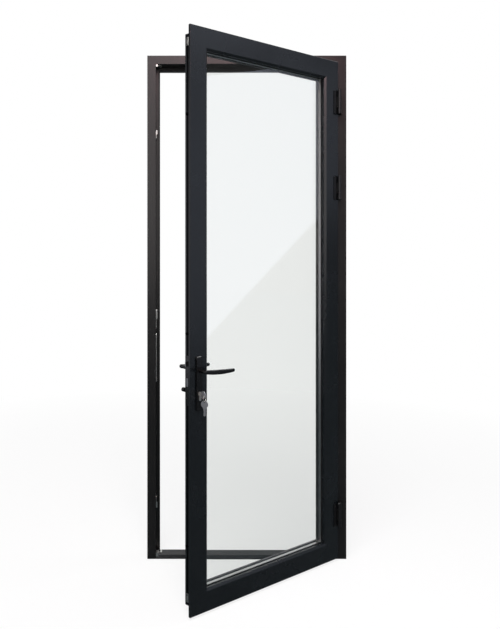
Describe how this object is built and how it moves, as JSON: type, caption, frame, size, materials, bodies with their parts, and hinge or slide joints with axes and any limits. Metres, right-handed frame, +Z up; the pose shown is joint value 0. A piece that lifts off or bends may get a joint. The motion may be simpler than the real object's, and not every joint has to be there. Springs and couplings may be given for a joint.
{
  "type": "glazed entrance door with frame",
  "caption": "Dark aluminium entrance door in its frame: a double-glazed leaf on barrel hinges, lever handles, multi-point lock with rods and keeps, and a key with a spare on a ring.",
  "frame": {"origin": "middle of the frame's foot, at half its depth and on its underside", "axes": "+X to the right as seen from outside, -Y towards the outside and the opening leaf, +Z up"},
  "size_m": [0.87, 0.5611, 2.2],
  "materials": {
    "frame_coat": "satin fine-textured powder coat, near black",
    "leaf_coat": "satin fine-textured powder coat, near black",
    "sill_metal": "powder-coated, worn satin",
    "zinc": "bright zinc-plated steel",
    "cast_zinc": "bare zinc casting",
    "mill_aluminium": "mill finish",
    "spacer": "bright mill finish",
    "hinge_coat": "satin powder coat, black",
    "steel": "ground steel",
    "rod_metal": "dark anodised",
    "black_coat": "matt black powder coat",
    "rubber": "matt black rubber",
    "sealant": "grey-black sealant",
    "glass": "clear float glass",
    "packer": "moulded plastic",
    "brush": "dense pile",
    "nickel": "satin nickel plate",
    "key_nickel": "nickel-plated"
  },
  "bodies": {
    "frame": {"lock_jamb": "frame_coat", "hinge_jamb": "frame_coat", "head": "frame_coat", "threshold": "sill_metal", "threshold_connectors": "cast_zinc", "frame_corner_cleats": "mill_aluminium", "stop_seal": "rubber", "main_strike": "zinc", "upper_keep": "zinc", "middle_keep": "zinc", "lower_keep": "zinc", "head_bolt_keep": "cast_zinc", "threshold_bolt_keep": "zinc", "top_hinge_frame_half": "hinge_coat", "middle_hinge_frame_half": "hinge_coat", "bottom_hinge_frame_half": "hinge_coat", "hinge_pins": "hinge_coat"},
    "leaf": {"hinge_stile": "leaf_coat", "lock_stile": "leaf_coat", "top_rail": "leaf_coat", "bottom_rail": "leaf_coat", "leaf_corner_cleats": "mill_aluminium", "top_bead": "leaf_coat", "bottom_bead": "leaf_coat", "lock_side_bead": "leaf_coat", "hinge_side_bead": "leaf_coat", "outer_glazing_gasket": "rubber", "inner_glazing_gasket": "rubber", "outer_pane": "glass", "inner_pane": "glass", "spacer_bar": "spacer", "unit_edge_seal": "sealant", "glazing_blocks": "packer", "flange_seal": "rubber", "bottom_brush": "brush", "top_hinge_leaf_half": "hinge_coat", "middle_hinge_leaf_half": "hinge_coat", "bottom_hinge_leaf_half": "hinge_coat", "lock_case": "zinc", "lock_faceplate": "black_coat", "cylinder_body": "nickel", "outside_plate": "black_coat", "inside_plate": "black_coat", "plate_screws": "zinc", "top_rod_guide": "cast_zinc", "bottom_rod_guide": "cast_zinc"},
    "handle": {"outside_lever": "black_coat", "inside_lever": "black_coat", "spindle": "zinc"},
    "latch": {"latch_bolt": "steel"},
    "plug": {"cylinder_plug": "nickel", "thumbturn": "black_coat"},
    "deadbolt": {"deadbolt": "steel"},
    "upper_rod": {"upper_rod": "rod_metal"},
    "lower_rod": {"lower_rod": "rod_metal"},
    "key": {"inserted_key": "key_nickel"},
    "ring": {"key_ring": "nickel"},
    "spare_key": {"spare_key": "key_nickel"}
  },
  "joints": [
    {"name": "leaf_swing", "type": "hinge", "parent": "frame", "child": "leaf", "pos_m": [0.398, -0.059, 1.1], "axis": [0, 0, 1], "range_deg": [-34.2, 75.8]},
    {"name": "handle_turn", "type": "hinge", "parent": "leaf", "child": "handle", "pos_m": [-0.23925, -0.47877, 0.905], "axis": [-0.5621, 0.8271, 0], "range_deg": [0, 40], "stiffness_Nm_per_rad": 2, "springref_deg": -28.65},
    {"name": "latch_slide", "type": "slide", "parent": "leaf", "child": "latch", "axis": [0.8271, 0.5621, 0], "range_m": [0, 0.012]},
    {"name": "key_turn", "type": "hinge", "parent": "leaf", "child": "plug", "pos_m": [-0.23925, -0.47877, 0.82], "axis": [-0.5621, 0.8271, 0], "range_deg": [0, 360]},
    {"name": "deadbolt_slide", "type": "slide", "parent": "leaf", "child": "deadbolt", "axis": [-0.8271, -0.5621, 0], "range_m": [0, 0.02]},
    {"name": "upper_rod_slide", "type": "slide", "parent": "leaf", "child": "upper_rod", "axis": [0, 0, 1], "range_m": [0, 0.018]},
    {"name": "lower_rod_slide", "type": "slide", "parent": "leaf", "child": "lower_rod", "axis": [0, 0, -1], "range_m": [0, 0.018]},
    {"name": "key_pull", "type": "slide", "parent": "plug", "child": "key", "axis": [0.5621, -0.8271, 0], "range_m": [0, 0.035]},
    {"name": "ring_swing", "type": "hinge", "parent": "key", "child": "ring", "pos_m": [-0.21901, -0.50855, 0.8185], "axis": [-0.512, -0.859, 0], "range_deg": [-12, 60]},
    {"name": "spare_key_swing", "type": "hinge", "parent": "ring", "child": "spare_key", "pos_m": [-0.21901, -0.50855, 0.7975], "axis": [-0.512, -0.859, 0], "range_deg": [-10, 60]}
  ],
  "couplings": [
    {"joint": "latch_slide", "follows": "handle_turn", "m_per_rad": 0.017188},
    {"joint": "deadbolt_slide", "follows": "key_turn", "m_per_rad": 0.003183},
    {"joint": "upper_rod_slide", "follows": "key_turn", "m_per_rad": 0.0028647},
    {"joint": "lower_rod_slide", "follows": "key_turn", "m_per_rad": 0.0028647}
  ]
}
